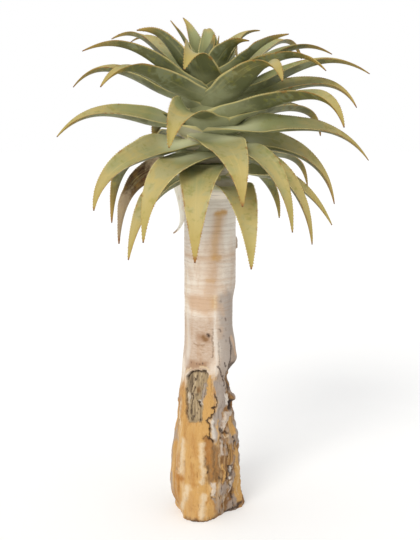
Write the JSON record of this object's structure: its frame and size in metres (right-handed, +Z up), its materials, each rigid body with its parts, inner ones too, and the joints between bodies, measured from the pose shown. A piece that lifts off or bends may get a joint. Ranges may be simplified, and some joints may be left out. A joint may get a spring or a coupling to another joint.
{
  "type": "tree aloe",
  "caption": "young tree aloe with one thick flared trunk and a single rosette of long channelled leaves that arch out and down",
  "frame": {"origin": "the middle of the flat cut under the trunk, at ground level", "axes": "+Z up along the trunk, -Y towards the side that the picture shows, +X to its right"},
  "size_m": [1.1575, 0.9545, 1.8966],
  "materials": {
    "bark": "rough",
    "leaf": "satin",
    "dry_leaf": "rough"
  },
  "bodies": {
    "root": {"leaf_00": "leaf", "leaf_01": "leaf", "leaf_02": "leaf", "leaf_03": "leaf", "leaf_04": "dry_leaf", "leaf_05": "leaf", "leaf_06": "leaf", "leaf_07": "dry_leaf", "leaf_08": "leaf", "leaf_09": "leaf", "leaf_10": "leaf", "leaf_11": "leaf", "leaf_12": "leaf", "leaf_13": "leaf", "leaf_14": "leaf", "leaf_15": "leaf", "leaf_16": "leaf", "leaf_17": "leaf", "leaf_18": "leaf", "leaf_19": "leaf", "leaf_20": "leaf", "leaf_21": "leaf", "leaf_22": "leaf", "leaf_23": "leaf", "leaf_24": "leaf", "leaf_25": "leaf", "leaf_27": "leaf", "leaf_29": "leaf", "leaf_30": "leaf", "leaf_32": "leaf", "leaf_33": "leaf", "leaf_34": "leaf", "leaf_35": "leaf", "leaf_36": "leaf", "leaf_37": "leaf", "leaf_38": "leaf", "leaf_40": "leaf", "leaf_41": "leaf", "leaf_42": "leaf", "leaf_43": "leaf", "leaf_44": "leaf", "leaf_45": "leaf", "leaf_46": "leaf", "leaf_48": "leaf", "leaf_49": "leaf", "leaf_50": "leaf", "leaf_51": "leaf", "leaf_53": "leaf", "leaf_54": "leaf", "leaf_55": "leaf", "leaf_56": "leaf", "leaf_57": "leaf", "leaf_58": "leaf", "trunk": "bark"}
  },
  "joints": []
}
